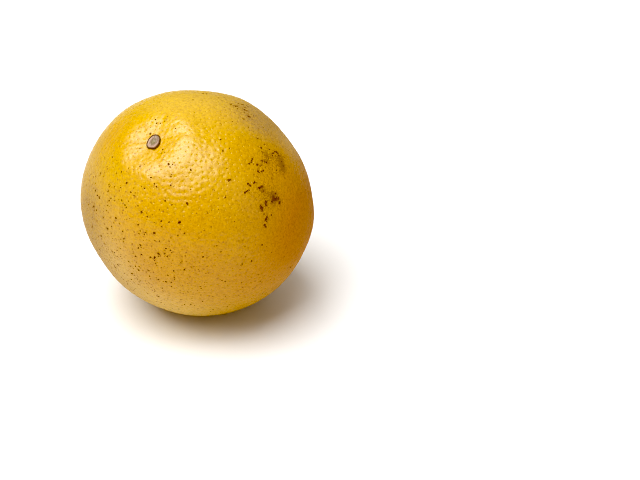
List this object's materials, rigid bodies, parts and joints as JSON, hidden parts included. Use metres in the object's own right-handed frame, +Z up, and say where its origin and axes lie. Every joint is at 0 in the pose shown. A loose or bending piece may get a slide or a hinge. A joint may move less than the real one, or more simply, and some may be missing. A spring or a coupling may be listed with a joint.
{
  "type": "grapefruit",
  "caption": "Whole yellow grapefruit, slightly uneven and nearly round, with a dried stem button in a shallow dimple, resting on a small flat spot.",
  "frame": {"origin": "middle of the flat spot that the fruit rests on", "axes": "+Z up, out of the surface that it rests on; -Y towards the front, where the picture was taken from; the stem end leans 31.7 degrees from +Z towards the front left"},
  "size_m": [0.1113, 0.1091, 0.1083],
  "materials": {
    "peel": "waxy, pitted with fine oil glands, golden yellow with scattered brown specks and rust-coloured scars",
    "dried_stem": "dry and woody, dark brown rim round a pale cut face with a grey-green middle"
  },
  "bodies": {
    "root": {"fruit": "peel", "stem_button": "dried_stem"}
  },
  "joints": []
}
